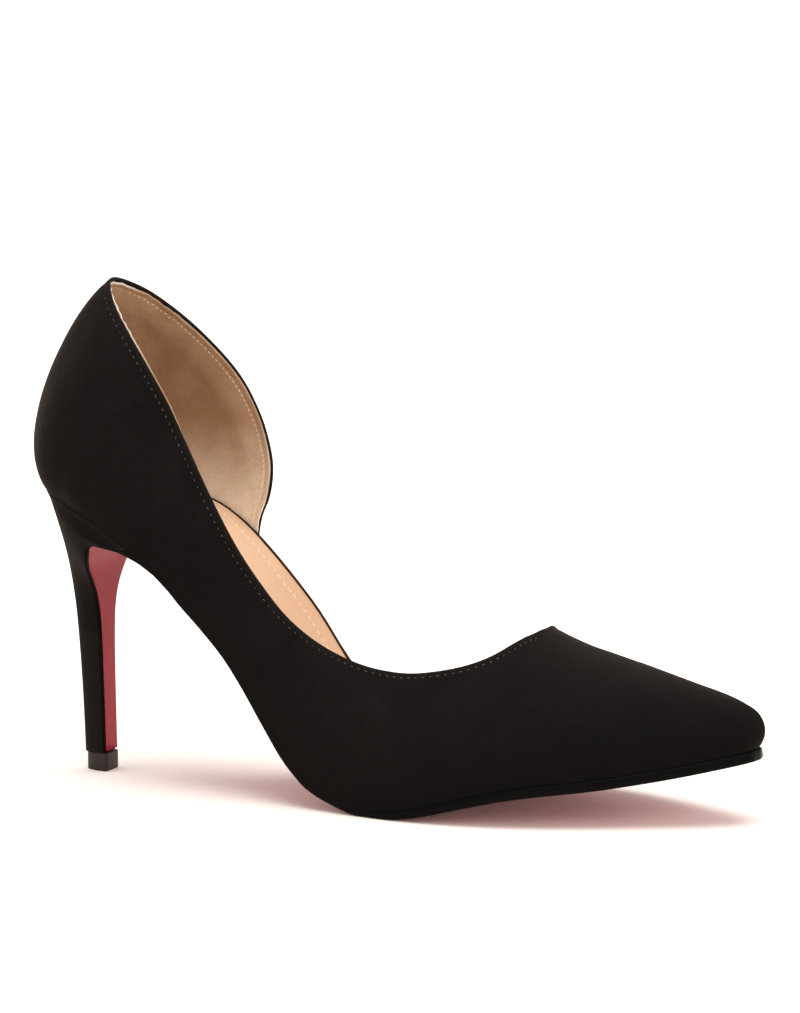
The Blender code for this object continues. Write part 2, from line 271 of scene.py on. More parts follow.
# Share of the arch pad along the foot: x, share; and the power by which it rises towards the arch
PAD_SHARE = (
    (0.0, 0.0),
    (20.0, 0.0),
    (44.0, 0.9),
    (58.0, 1.0),
    (72.0, 0.75),
    (86.0, 0.6),
    (98.0, 0.4),
    (114.0, 0.0),
    (240.0, 0.0),
)
PAD_RISE = 1.5

# How far the sock's edge lies inside the feather line: station, outer side, inner side
SOCK_INSET = (
    (0.00, 2.2, 2.2),
    (0.40, 1.9, 2.0),
    (0.50, 1.5, 2.4),
    (0.82, 1.5, 2.4),
    (0.90, 1.5, 1.5),
    (1.00, 1.5, 1.5),
)

# Thick painted edge of the sock along the arch: x, half thickness
SOCK_BEAD = (
    (40.0, 0.15),
    (44.0, 0.28),
    (57.0, 0.30),
    (65.0, 0.55),
    (106.0, 0.50),
    (114.0, 0.15),
)

# Thickness of the sole along the foot: x, thickness
SOLE_DEPTH = (
    (0.0, 3.2),
    (40.0, 3.0),
    (47.0, 2.4),
    (53.0, 3.2),
    (59.0, 4.6),
    (66.0, 4.6),
    (74.0, 4.3),
    (88.0, 4.3),
    (97.0, 4.8),
    (103.0, 4.5),
    (109.0, 3.5),
    (114.0, 2.7),
    (121.0, 2.6),
    (131.0, 2.6),
    (150.0, 2.9),
    (167.0, 3.2),
    (240.0, 3.2),
)

# Edge of the sole: station, how far it stands out of the upper's foot, how far the suede comes down over it
SOLE_EDGE = (
    (0.00, 0.8, 0.0),
    (0.06, 0.8, 0.0),
    (0.40, 0.9, 0.0),
    (0.50, 0.7, 0.0),
    (0.58, -0.5, 1.6),
    (0.62, -0.85, 3.2),
    (0.66, -0.85, 3.5),
    (0.78, -0.85, 3.4),
    (0.81, -0.85, 3.5),
    (0.84, -0.85, 2.2),
    (0.868, -0.7, 2.0),
    (0.877, -0.7, 0.0),
    (1.00, 0.0, 0.0),
)

# Sole on to the end of its flap on the heel breast: x, z, outer half width, inner half width, thickness
BREAST = (
    (34.6, 73.7, 24.1, 23.8, 1.6),
    (29.9, 74.5, 23.85, 23.6, 1.1),
    (24.9, 74.4, 21.45, 21.4, 0.9),
    (22.6, 70.2, 18.25, 17.6, 0.8),
    (21.1, 66.2, 14.65, 14.6, 0.8),
    (20.55, 62.0, 10.85, 11.0, 0.8),
    (20.35, 57.2, 7.65, 7.8, 0.8),
    (20.35, 51.0, 5.6, 5.8, 0.8),
    (20.45, 45.0, 4.9, 5.1, 0.8),
    (20.7, 32.5, 4.5, 4.6, 0.8),
    (21.0, 20.0, 4.3, 4.4, 0.8),
    (21.3, 6.4, 4.2, 4.3, 0.8),
)

# Back of the heel, a row for each of the breast: x, z, roundness (1 is an ellipse, less is fuller at the sides)
HEEL = (
    (1.5, 90.0, 1.0),
    (2.6, 88.4, 1.04),
    (4.6, 86.0, 0.88),
    (6.0, 82.2, 0.82),
    (6.8, 76.8, 0.86),
    (7.4, 70.6, 0.94),
    (8.05, 63.8, 1.0),
    (9.5, 55.0, 1.0),
    (10.15, 47.5, 1.0),
    (11.25, 33.0, 1.0),
    (12.0, 20.0, 1.0),
    (12.5, 5.75, 1.0),
)

# Heights between which the rise of the arch side dies out down the heel
TWIST_END = (55.0, 73.0)

# Share of the sole's thickness up to which the heel's front reaches into it
FRONT_IN_SOLE = 0.6

# Passes that ease the heel's sides, and the power that holds its front edges meanwhile
HEEL_EASING = 24
HELD_FRONT = 16

# Soft troughs (+) and ridges (-) of the suede: side, x and z of both ends, width, depth
CREASES = (
    (-1, 96.0, 50.0, 128.0, 24.0, 9.0, 0.35),
    (-1, 112.0, 44.0, 140.0, 20.0, 8.0, -0.25),
    (-1, 152.0, 40.0, 158.0, 20.0, 7.0, 0.22),
    (-1, 40.0, 96.0, 66.0, 70.0, 10.0, -0.30),
    (-1, 24.0, 128.0, 40.0, 100.0, 9.0, 0.25),
    (-1, 190.0, 36.0, 214.0, 28.0, 7.0, 0.20),
    (1, 150.0, 30.0, 168.0, 22.0, 8.0, 0.25),
    (1, 30.0, 120.0, 50.0, 92.0, 9.0, 0.25),
)

# How far the lining's cut edge lies below the suede's edge: station, outer side, inner side
LINING_DROP = (
    (0.36, 0.9, 0.9),
    (0.46, 0.8, 0.9),
    (0.52, 0.7, 1.2),
    (0.66, 0.6, 1.0),
    (0.72, 0.6, 2.0),
    (0.785, 0.5, 2.0),
    (0.80, 0.5, 1.8),
    (0.82, 0.5, 1.2),
    (0.84, 0.4, 0.6),
    (0.87, 0.4, 0.4),
    (0.90, -0.05, 0.40),
    (0.93, -0.30, 0.50),
    (0.97, -0.35, 0.80),
    (0.985, 0.2, 1.1),
    (1.00, 1.5, 1.5),
)

# Station in the toe where the lining starts, and how far it stops above the sole
LINING_START = 0.06
LINING_FOOT = 1.2

# Ragged cut edge of the lining at the back: stations between which it starts
RAGGED_FROM = (0.94, 0.97)

# Waves of that edge: height, turn for each station, start
RAGGED_WAVES = ((0.20, 900.0, 0.0), (0.15, 2300.0, 1.0))

# Pale frayed edge of the lining: heights between which it starts, on the outer and on the inner side
FRAYED_OUTER = (128.0, 142.0)
FRAYED_INNER = (151.0, 154.0)

# Padding of the lining and the dent of its seam: distance from the edge, width, height
PADDING = (8.0, 4.5, 0.9)
SEAM_DENT = (1.7, 0.55, 0.32)

# Where the padding starts: heights on the inner quarter flap, x on the outer quarter
FLAP_PADDING = (74.0, 82.0)
QUARTER_PADDING = (112.0, 82.0)

# Soft fold marks pressed into the lining: side, x and z of both ends, width, depth; and the deepest they may go
FOLDS = (
    (1, 25.4, 145.6, 26.8, 138.6, 1.6, 0.45),
    (1, 29.0, 130.0, 43.0, 104.0, 10.0, 0.30),
)
DEEPEST_FOLD = 0.6

# Shares of a crease's length: full depth to each side of its middle, fading after that, going past its ends
CREASE_CORE = 0.25
CREASE_FADE = 0.30
CREASE_PAST = 0.5

# Suede along its topline: width and depth of the seam's dip, width and height of the roll of the folded edge
SEAM_DIP = (0.8, 0.16)
EDGE_ROLL = (0.9, 0.10)

# Place of that roll as a share of the seam's distance from the edge
ROLL_AT = 0.45

# Painted shade: heights over the sole between which the suede's darker foot fades, and on the heel the painted
# shade under its seat
FOOT_PAINTED_SHADE = (2.0, 34.0)
SEAT_PAINTED_SHADE = (78.0, 58.0)

# Painted light on the heel's stem, greyed like an edge: heights between which it ends, distance from an edge
# that it and the rest look like
STEM_PAINTED_LIGHT = (45.0, 65.0)
STEM_AS_EDGE = 0.9
REST_AS_EDGE = 40.0

# Rows of stitches: pitch, length, width and height of a stitch; distance from the edge, by x
# Real stitches are finer and closer, and are drawn coarser here so that single ones show
TOP_STITCH = (2.4, 1.1, 0.38, 0.20)
TOP_AWAY = ((20.0, 2.4), (80.0, 2.4), (104.0, 1.6), (140.0, 1.5), (168.0, 1.8))
LINING_STITCH = (1.7, 0.9, 0.38, 0.24)
LINING_AWAY = ((20.0, 2.4), (240.0, 2.4))
SOCK_STITCH = (2.7, 2.0, 0.42, 0.28)
SOCK_AWAY = (
    (30.0, 3.0),
    (46.0, 3.3),
    (54.0, 3.9),
    (62.0, 4.8),
    (71.0, 5.8),
    (80.0, 6.6),
    (100.0, 8.2),
    (122.0, 9.0),
)

# Parts of the rows along the toplines: side, first and last station, points read, way in from the edge
DOWN = (0.0, 0.0, -1.0)
BACK_DOWN = (-1.0, 0.0, -0.5)
TOP_ROWS = (
    (OUTER, 0.985, 0.368, 500, DOWN),
    (INNER, 0.985, 0.80, 300, BACK_DOWN),
    (INNER, 0.55, 0.368, 300, DOWN),
)
LINING_ROWS = (
    (INNER, 0.985, 0.86, 250, BACK_DOWN),
    (OUTER, 0.985, 0.40, 500, DOWN),
    (INNER, 0.55, 0.40, 300, DOWN),
)
FLAP_ROWS = (
    (INNER, 0.86, 0.795, 150, BACK_DOWN),
)

# Hand of the machinist: turn of a stitch in radians, range of its length, range of how deep it sinks in
HAND = np.random.default_rng(11)
HAND_TURN = 0.2
HAND_LENGTH = (0.75, 1.15)
HAND_SINK = (0.0, 0.35)

# Steps by which a seam is walked in from the edge, and how far ahead a stitch looks for its direction
SEAM_STEPS = 6
LOOK_AHEAD = 0.4

# Points across a sheet's tables and its flat faces, and round the heel, the lift and the sock's bead
SHEET_ACROSS = 9
FLAT_POINTS = 19
HEEL_POINTS = 49
LIFT_POINTS = 33
BEAD_POINTS = 8

# Points along a wall, along a whole topline and along the seat's edge, from which others are read
WALL_POINTS = 161
RIM_POINTS = 900
SEAT_POINTS = 400

# Finer rows for each given one: of a sheet, the heel and the lining's cut edge
SHEET_SPLIT = 3
HEEL_SPLIT = 4
CUT_SPLIT = 6

# Distances under which points are merged and edges dissolved, and the least size of a sheet's section
MERGED = 0.02
DISSOLVED = 0.01
LEAST_SIZE = 0.001

# Suns: name, direction towards it, strength, width in degrees; and where their lamps stand, in metres
SUNS = (
    ("overhead", (0.0, 0.0, 1.0), 2.3, 50.0),
    ("front", (0.80, -0.42, 0.45), 0.6, 30.0),
    ("far", (0.80, 0.50, 0.30), 0.6, 30.0),
    ("left", (-0.85, -0.45, 0.35), 0.35, 30.0),
)
SUN_AWAY = 2.0

# Surroundings, and half the floor's width in metres
SKY_COLOUR = (1.0, 0.99, 0.98, 1.0)
SKY_STRENGTH = 0.73
FLOOR_HALF = 6.0

# Camera of the photograph: degrees round from the side towards the toe, degrees up, metres away
CAMERA_ROUND = 23.0
CAMERA_UP = 8.9
CAMERA_AWAY = 1.8

# Point that it looks at, in millimetres from the part's origin
CAMERA_AIM = (2.36, 0.52, 89.92)

# Its focal length and the frame's height in pixels, and its sensor in millimetres
FOCAL_PIXELS = 5869.11
FRAME_PIXELS = 1013.0
SENSOR = 36.0

# Settings of shader nodes that recur
TIMES_PLUS = {"operation": "MULTIPLY_ADD"}
TIMES = {"operation": "MULTIPLY"}
COLOURS = {"data_type": "RGBA"}


def smooth(table, at):
    """Cubic through the rows of a table, read at the values of its first column."""
    rows = np.asarray(table, float)
    knots = rows[:, 0]
    values = rows[:, 1:]
    at = np.clip(np.atleast_1d(np.asarray(at, float)), knots[0], knots[-1])
    step = np.diff(knots)
    slope = np.diff(values, axis=0) / step[:, None]
    share = (step[1:] / (step[:-1] + step[1:]))[:, None]
    tangent = np.empty_like(values)
    tangent[1:-1] = slope[:-1] * share + slope[1:] * (1.0 - share)
    tangent[0] = 1.5 * slope[0] - 0.5 * tangent[1]
    tangent[-1] = 1.5 * slope[-1] - 0.5 * tangent[-2]
    low = np.clip(np.searchsorted(knots, at, side="right") - 1, 0, len(knots) - 2)
    t = ((at - knots[low]) / step[low])[:, None]
    h = step[low][:, None]
    return (
        (1 + 2 * t) * (1 - t) ** 2 * values[low]
        + t * (1 - t) ** 2 * h * tangent[low]
        + t * t * (3 - 2 * t) * values[low + 1]
        + t * t * (t - 1) * h * tangent[low + 1]
    )


def level(table, at):
    """Straight lines through the rows of a table, read at the values of its first column."""
    rows = np.asarray(table, float)
    return np.column_stack([np.interp(at, rows[:, 0], rows[:, i]) for i in range(1, rows.shape[1])])


def stations(table, split=1):
    """Station of every section, evenly spaced between the numbered rows of a table."""
    rows = np.asarray(table)
    number = np.arange(rows[-1, 0] * split + 1) / split
    return np.interp(number, rows[:, 0], rows[:, 1])


def part_way(value, start, end):
    """Share from 0 at the start to 1 at the end, held beyond both."""
    return np.clip((value - start) / (end - start), 0.0, 1.0)


def eased(share):
    """Share that starts and ends softly."""
    return share * share * (3 - 2 * share)


def bulge(at, middle, width, high):
    """Soft swelling of a given height round a middle value."""
    return high * np.exp(-((at - middle) / width) ** 2)


def unit(vectors):
    """Vectors brought to length 1."""
    return vectors / np.linalg.norm(vectors, axis=-1, keepdims=True)


def lengths(path):
    """Distance of each point of a path from its first one, along it."""
    return np.concatenate([[0.0], np.cumsum(np.linalg.norm(np.diff(path, axis=0), axis=-1))])


def past_ends(table, other):
    """Table continued past toe and heel with the rows of the other side, so both ends come out round."""
    table = np.asarray(table, float)
    other = np.asarray(other, float)
    before = other[3:0:-1].copy()
    before[:, 0] *= -1
    after = other[-2:-5:-1].copy()
    after[:, 0] = 2 - after[:, 0]
    return before, table, after


def outline(side, s, grow=0.0):
    """Feather line in plan, grown outwards, with its outward direction."""
    rows = np.asarray(FEATHER)
    own = rows[:, (0, 1, 2)] if side < 0 else rows[:, (0, 1, 3)]
    other = rows[:, (0, 1, 3)] if side < 0 else rows[:, (0, 1, 2)]
    table = np.concatenate(past_ends(own, other))
    s = np.atleast_1d(np.asarray(s, float))
    nearby = 1e-4
    along = unit(smooth(table, s + nearby) - smooth(table, s - nearby))
    out = np.stack([-along[:, 1], along[:, 0]], -1) * -side
    return smooth(table, s) + out * grow, out


def topline(side, s):
    """Topline of one side, from the throat to the back."""
    own, other = (OUTER_TOP, INNER_TOP) if side < 0 else (INNER_TOP, OUTER_TOP)
    return smooth(np.concatenate(past_ends(own, other)[1:]), s)


def base_height(x, y):
    """Bottom of the last over a place in plan, level across or raised towards the arch."""
    x = np.asarray(x, float)
    height = smooth(LAST_BOTTOM, x.ravel()).reshape(x.shape + (2,))
    width = smooth([row[1:] for row in FEATHER[::-1]], x.ravel()).reshape(x.shape + (2,))
    span = np.maximum(width[..., 1] - width[..., 0], 1.0)
    across = np.clip((y - width[..., 0]) / span, 0.0, 1.0)
    return height[..., 0] + height[..., 1] * across


def base_slope(x, y):
    """Rise of the last's bottom for each millimetre towards the toe."""
    return base_height(x + 0.5, y) - base_height(x - 0.5, y)


def stretch(x):
    """Ratio of a vertical offset to the offset square to the sloping bottom."""
    return np.sqrt(1.0 + base_slope(x, 0 * x) ** 2)


def wall_arc(foot, out, top, top_out, low, high, fullness, t):
    """Wall from the feather line to a ridge or topline with the given leans in degrees, at the shares t."""
    chord = top - foot
    rise = unit(chord - out * np.sum(chord * out, -1, keepdims=True))
    top_rise = unit(chord - top_out * np.sum(chord * top_out, -1, keepdims=True))
    low = np.radians(low)[:, None]
    high = np.radians(high)[:, None]
    reach = np.linalg.norm(chord, axis=-1, keepdims=True) * fullness[:, None]
    first = foot + reach * (rise * np.cos(low) + out * np.sin(low))
    second = top - reach * (top_rise * np.cos(high) + top_out * np.sin(high))
    foot, first, second, top = (p[:, None, :] for p in (foot, first, second, top))
    t = t[..., None]
    return (1 - t) ** 3 * foot + 3 * t * (1 - t) ** 2 * first + 3 * t * t * (1 - t) * second + t ** 3 * top


def upper_wall(side, s, rows):
    """Points of the wall from the feather line to the ridge or topline, a column per station."""
    plan, out = outline(side, s)
    foot = np.column_stack([plan, base_height(plan[:, 0], plan[:, 1])])
    out = np.column_stack([out, 0 * s])
    lean = smooth(WALL_LEAN, s)
    turn = eased(part_way(s, 0.0, TOE_TURN)) * np.pi / 2
    cross = np.column_stack([np.cos(turn), side * np.sin(turn), 0 * s])
    ridge = smooth(RIDGE, s)
    rim = topline(side, s)
    rim_lean = lean[:, 1] if side < 0 else lean[:, 2]
    ridge_lean = np.where(s < TOE_LEAN, rim_lean, RIDGE_LEAN)
    # The wall is first run on to the ridge, and its place nearest to the topline is found there
    steps = 200
    fine = np.linspace(0.0, 1.0, steps + 1)[None, :] + 0 * s[:, None]
    full = wall_arc(foot, out, ridge, cross, lean[:, 0], ridge_lean, lean[:, 3], fine)
    apart = np.sum((full - rim[:, None, :]) ** 2, axis=-1)
    best = np.clip(np.argmin(apart, axis=1), 1, steps - 1)
    each = np.arange(len(s))
    below, at, above = apart[each, best - 1], apart[each, best], apart[each, best + 1]
    near = (best + np.clip(0.5 * (below - above) / (below - 2 * at + above), -1, 1)) / steps
    up = np.where(s <= THROAT, 1.0, near)[:, None] * rows[None, :]
    vamp = wall_arc(foot, out, ridge, cross, lean[:, 0], ridge_lean, lean[:, 3], up)
    even = rows[None, :] + 0 * s[:, None]
    quarter = wall_arc(foot, out, rim, out, lean[:, 0], rim_lean, lean[:, 3], even)
    blend = eased(part_way(s, *QUARTER_BLEND))[:, None, None]
    return vamp * (1 - blend) + quarter * blend


def wall_columns(side, s, drop, short=0.0, tuck=False):
    """Columns of the wall, rows close at the edge, the edge lowered, the foot cut short or tucked in."""
    dense = upper_wall(side, s, np.linspace(0.0, 1.0, WALL_POINTS))[:, ::-1]
    cover = SEAM + TUCK + level(SOLE_EDGE, s)[:, 1]
    columns = []
    for path, lower, over in zip(dense, drop, cover):
        reach = lengths(path)
        whole = reach[-1] - short
        close = np.array(EDGE_ROWS) * min(1.0, whole / EDGE_SPAN)
        rest = np.linspace(close[-1], whole, BODY_ROWS + 1)[1:]
        down = np.concatenate([close, rest])
        down = lower + down * (whole - lower) / whole
        column = level(np.column_stack([reach, path]), down)
        column -= np.minimum(down, 0.0)[:, None] * unit(path[0] - path[1])
        if tuck:
            under = np.array((0.0, 0.0, over * stretch(column[-1:, 0])[0]))
            column = np.vstack([column, column[-1] - under * 0.5, column[-1] - under])
        columns.append(column)
    return np.array(columns)


def grid_mesh(points, paint=None):
    """Blender grid whose vertices are moved to the given rows and columns of points."""
    across, up = points.shape[0] - 1, points.shape[1] - 1
    bm = bmesh.new()
    bmesh.ops.create_grid(bm, x_segments=across, y_segments=up, size=0.5)
    if paint:
        for face in bm.faces:
            middle = face.calc_center_median()
            face.material_index = paint((middle.y + 0.5) * up)
    for vert in bm.verts:
        column = round((vert.co.x + 0.5) * across)
        row = round((vert.co.y + 0.5) * up)
        vert.co = (points[column, row] - CENTRE) * MM
    bmesh.ops.remove_doubles(bm, verts=bm.verts, dist=MERGED * MM)
    bmesh.ops.dissolve_degenerate(bm, edges=bm.edges, dist=DISSOLVED * MM)
    return bm


def loft(rings, paint=None):
    """Closed body through rings of points, with its open ends filled."""
    bm = grid_mesh(np.concatenate([rings, rings[:, :1]], axis=1), paint)
    ends = bmesh.ops.holes_fill(bm, edges=bm.edges, sides=0)["faces"]
    bmesh.ops.triangulate(bm, faces=ends)
    bmesh.ops.recalc_face_normals(bm, faces=bm.faces)
    return bm


def point_outwards(bm):
    """Turns the faces of an open shell so that they look away from its middle."""
    bmesh.ops.recalc_face_normals(bm, faces=bm.faces)
    bm.normal_update()
    middle = sum((v.co for v in bm.verts), Vector()) / len(bm.verts)
    outward = sum(face.normal.dot(face.calc_center_median() - middle) * face.calc_area() for face in bm.faces)
    if outward < 0:
        bmesh.ops.reverse_faces(bm, faces=bm.faces)
    bm.normal_update()


def finer(rings, count):
    """Rings read again at even distances between the given ones, on a cubic through them."""
    flat = rings.reshape(len(rings), -1)
    step = np.linalg.norm(np.diff(rings, axis=0), axis=-1).mean(-1)
    knots = np.concatenate([[0.0], np.cumsum(step)])
    places = np.interp(np.arange((len(rings) - 1) * count + 1) / count, np.arange(len(rings)), knots)
    return smooth(np.column_stack([knots, flat]), places).reshape((len(places),) + rings.shape[1:])


def slab(lower, upper, rounding, edge=0):
    """Closed sheet between a lower and an upper surface, sections in rows, with rounded edges.

    Its lower face has the first material, and the rest the one numbered for the edge.
    """
    rings = []
    turn = np.radians((0.0, 22.5, 45.0, 67.5, 90.0))
    spread = np.linspace(0.0, 1.0, FLAT_POINTS)
    places = np.linspace(0.0, 1.0, SHEET_ACROSS)
    middle = SHEET_ACROSS // 2
    for face, back in zip(lower, upper):
        width = max(np.linalg.norm(face[-1] - face[0]), LEAST_SIZE)
        thick = max(np.linalg.norm(back[middle] - face[middle]), LEAST_SIZE)
        across = min(width * ROUND_BY_WIDTH, thick * ROUND_ACROSS)
        low_u, high_u = (min(r, across) / width for r in rounding)
        low_h, high_h = (min(r, thick * ROUND_UP) / thick for r in rounding)
        flat = low_u + (1 - 2 * low_u) * spread
        right_u = np.concatenate([1 - low_u * (1 - np.sin(turn[1:])), 1 - high_u * (1 - np.cos(turn[:-1]))])
        right_h = np.concatenate([low_h * (1 - np.cos(turn[1:])), 1 - high_h * (1 - np.sin(turn[:-1]))])
        top = 1 - high_u - (1 - 2 * high_u) * spread
        u = np.concatenate([flat, right_u, top, 1 - right_u[::-1]])
        h = np.concatenate([0 * flat, right_h, 0 * top + 1, right_h[::-1]])
        low_at, high_at = (level(np.column_stack([places, line]), u) for line in (face, back))
        rings.append(low_at + (high_at - low_at) * h[:, None])
    return loft(np.array(rings), lambda place: 0 if place < FLAT_POINTS - 1 else edge)


def srgb(code):
    """Linear colour of an sRGB hex code."""
    parts = [int(code[i:i + 2], 16) / 255 for i in (1, 3, 5)]
    return tuple(c / 12.92 if c <= 0.04045 else ((c + 0.055) / 1.055) ** 2.4 for c in parts) + (1.0,)


def fill(tree, made, **inputs):
    """Fills a node's inputs, called by name or as i0, i1 and so on, with values or links from other nodes."""
    for name, value in inputs.items():
        socket = made.inputs[int(name[1:]) if name[1:].isdigit() else name.replace("_", " ")]
        if isinstance(value, bpy.types.Node):
            value = value.outputs[0]
        if isinstance(value, bpy.types.NodeSocket):
            tree.links.new(value, socket)
        else:
            socket.default_value = value


def node(tree, kind, settings=None, stops=(), **inputs):
    """Adds a shader node with its settings, the stops of its colour ramp and its inputs."""
    made = tree.nodes.new(kind)
    for name, value in (settings or {}).items():
        setattr(made, name, value)
    while stops and len(made.color_ramp.elements) < len(stops):
        made.color_ramp.elements.new(0.5)
    for number, (position, code) in enumerate(stops):
        made.color_ramp.elements[number].position = position
        made.color_ramp.elements[number].color = srgb(code)
    fill(tree, made, **inputs)
    return made


def per(size):
    """Repeats to the metre of a pattern whose marks lie this many millimetres apart."""
    return 1.0 / (size * MM)


def material(name):
    """New material with its Principled shader and Object coordinates."""
    made = bpy.data.materials.new(name)
    made.use_nodes = True
    tree = made.node_tree
    shader = tree.nodes["Principled BSDF"]
    place = node(tree, "ShaderNodeTexCoord").outputs["Object"]
    return made, tree, shader, place


def black_suede(name):
    """Dyed goat suede: a short napped face, dull and warm black, lighter where the nap stands up."""
    made, tree, shader, place = material(name)
    # The fibres of the nap are far finer than a pixel, so they are drawn 0.4 mm apart to show
    nap = node(tree, "ShaderNodeTexNoise", Vector=place, Scale=per(0.4), Detail=2.0, Roughness=0.7)
    brushed = node(tree, "ShaderNodeTexNoise", Vector=place, Scale=per(3.0), Detail=2.0, Roughness=0.6)
    patches = node(
        tree, "ShaderNodeTexNoise", Vector=place, Scale=per(22.0), Detail=3.0, Roughness=0.6, Distortion=0.6
    )
    cloud = node(tree, "ShaderNodeMath", TIMES_PLUS, i0=patches, i1=0.5, i2=0.0)
    cloud = node(tree, "ShaderNodeMath", TIMES_PLUS, i0=brushed, i1=0.2, i2=cloud)
    cloud = node(tree, "ShaderNodeMath", TIMES_PLUS, i0=nap, i1=0.3, i2=cloud)
    blacks = ((0.36, "#0c0a09"), (0.52, "#120f0e"), (0.70, "#1a1514"))
    tone = node(tree, "ShaderNodeValToRGB", stops=blacks, Fac=cloud)
    # Painted shade: darker towards the foot of the wall, near the sole
    foot = node(tree, "ShaderNodeAttribute", {"attribute_name": "foot"}).outputs["Fac"]
    low = node(tree, "ShaderNodeMapRange", i0=foot, i1=FOOT_PAINTED_SHADE[0], i2=FOOT_PAINTED_SHADE[1], i3=0.9, i4=0.0)
    tone = node(tree, "ShaderNodeMix", COLOURS, i0=low, i6=tone, i7=srgb("#0b0908")).outputs[2]
    # A few specks of lint
    lint = node(tree, "ShaderNodeTexVoronoi", Vector=place, Scale=per(13.0))
    speck = node(tree, "ShaderNodeMapRange", i0=lint, i1=0.010, i2=0.022, i3=0.45, i4=0.0)
    tone = node(tree, "ShaderNodeMix", COLOURS, i0=speck, i6=tone, i7=srgb("#5a524c")).outputs[2]
    # Painted highlight: greyer near edges and seams, like rubbed nap, and all over the heel's stem as painted
    # light
    edge = node(tree, "ShaderNodeAttribute", {"attribute_name": "rim"}).outputs["Fac"]
    painted_shading = node(tree, "ShaderNodeMapRange", i0=edge, i1=0.2, i2=1.6, i3=0.5, i4=0.0)
    tone = node(tree, "ShaderNodeMix", COLOURS, i0=painted_shading, i6=tone, i7=srgb("#221d1a")).outputs[2]
    fibre = node(tree, "ShaderNodeBump", Strength=0.5, Distance=0.25 * MM, Height=nap)
    soft = node(tree, "ShaderNodeBump", Strength=0.3, Distance=0.5 * MM, Height=brushed, Normal=fibre)
    fill(tree, shader, Base_Color=tone, Normal=soft, Roughness=0.95, Specular_IOR_Level=0.08)
    fill(tree, shader, Sheen_Weight=0.08, Sheen_Roughness=0.4, Sheen_Tint=srgb("#dcb8a2"))
    return made


def beige_lining():
    """Napped microfibre lining: beige, matt, faintly mottled, with a fine short pile."""
    made, tree, shader, place = material("beige_microfibre")
    mottle = node(tree, "ShaderNodeTexNoise", Vector=place, Scale=per(9.0), Detail=4.0, Roughness=0.65)
    # The pile is finer than a pixel, so it is drawn 0.6 mm apart to show
    pile = node(tree, "ShaderNodeTexNoise", Vector=place, Scale=per(0.6), Detail=2.0, Roughness=0.7)
    cloud = node(tree, "ShaderNodeMath", TIMES_PLUS, i0=pile, i1=0.45, i2=0.0)
    cloud = node(tree, "ShaderNodeMath", TIMES_PLUS, i0=mottle, i1=0.55, i2=cloud)
    # Tones higher up in the heel cup, darkened as painted shade
    painted_shading = ((0.34, "#977558"), (0.52, "#a58264"), (0.70, "#b39274"))
    tone = node(tree, "ShaderNodeValToRGB", stops=painted_shading, Fac=cloud)
    # Painted light: much paler low down, towards the sock, where light from above reaches
    lit_low_tones = ((0.34, "#e8d2b8"), (0.52, "#fbebd6"), (0.70, "#fff8ec"))
    lit_low_tone = node(tree, "ShaderNodeValToRGB", stops=lit_low_tones, Fac=cloud)
    height = node(tree, "ShaderNodeSeparateXYZ", Vector=place).outputs["Z"]
    painted_light_low = node(tree, "ShaderNodeMapRange", i0=height, i1=76 * MM, i2=110 * MM, i3=0.95, i4=0.0)
    tone = node(tree, "ShaderNodeMix", COLOURS, i0=painted_light_low, i6=tone, i7=lit_low_tone).outputs[2]
    # Almost white along the frayed cut edge
    edge = node(tree, "ShaderNodeAttribute", {"attribute_name": "rim"}).outputs["Fac"]
    raw = node(tree, "ShaderNodeMapRange", i0=edge, i1=0.1, i2=0.45, i3=0.85, i4=0.0)
    frayed = node(tree, "ShaderNodeAttribute", {"attribute_name": "frayed"}).outputs["Fac"]
    raw = node(tree, "ShaderNodeMath", TIMES, i0=raw, i1=frayed)
    tone = node(tree, "ShaderNodeMix", COLOURS, i0=raw, i6=tone, i7=srgb("#efe0cd")).outputs[2]
    bump = node(tree, "ShaderNodeBump", Strength=0.5, Distance=0.2 * MM, Height=pile)
    fill(tree, shader, Base_Color=tone, Normal=bump, Roughness=0.9, Specular_IOR_Level=0.2)
    fill(tree, shader, Sheen_Weight=0.15, Sheen_Roughness=0.5, Sheen_Tint=srgb("#f0dcc4"))
    return made


def peach_sock():
    """Smooth coated sock leather: even peach with a soft satin gloss and a very fine pressed grain."""
    made, tree, shader, place = material("peach_sock_leather")
    shade = node(tree, "ShaderNodeTexNoise", Vector=place, Scale=per(25.0), Detail=3.0, Roughness=0.5)
    # The pressed grain is finer than a pixel, so it is drawn 0.8 mm apart to show
    grain = node(tree, "ShaderNodeTexVoronoi", Vector=place, Scale=per(0.8), Randomness=1.0)
    tone = node(tree, "ShaderNodeValToRGB", stops=((0.35, "#c49a77"), (0.65, "#c8a07d")), Fac=shade)
    # Painted light: paler towards the heel
    along = node(tree, "ShaderNodeSeparateXYZ", Vector=place).outputs["X"]
    heel = node(tree, "ShaderNodeMapRange", i0=along, i1=-72 * MM, i2=-44 * MM, i3=0.8, i4=0.0)
    tone = node(tree, "ShaderNodeMix", COLOURS, i0=heel, i6=tone, i7=srgb("#e9c6a6")).outputs[2]
    bump = node(tree, "ShaderNodeBump", Strength=0.12, Distance=0.15 * MM, Height=grain)
    fill(tree, shader, Base_Color=tone, Normal=bump, Roughness=0.52, Specular_IOR_Level=0.4)
    return made


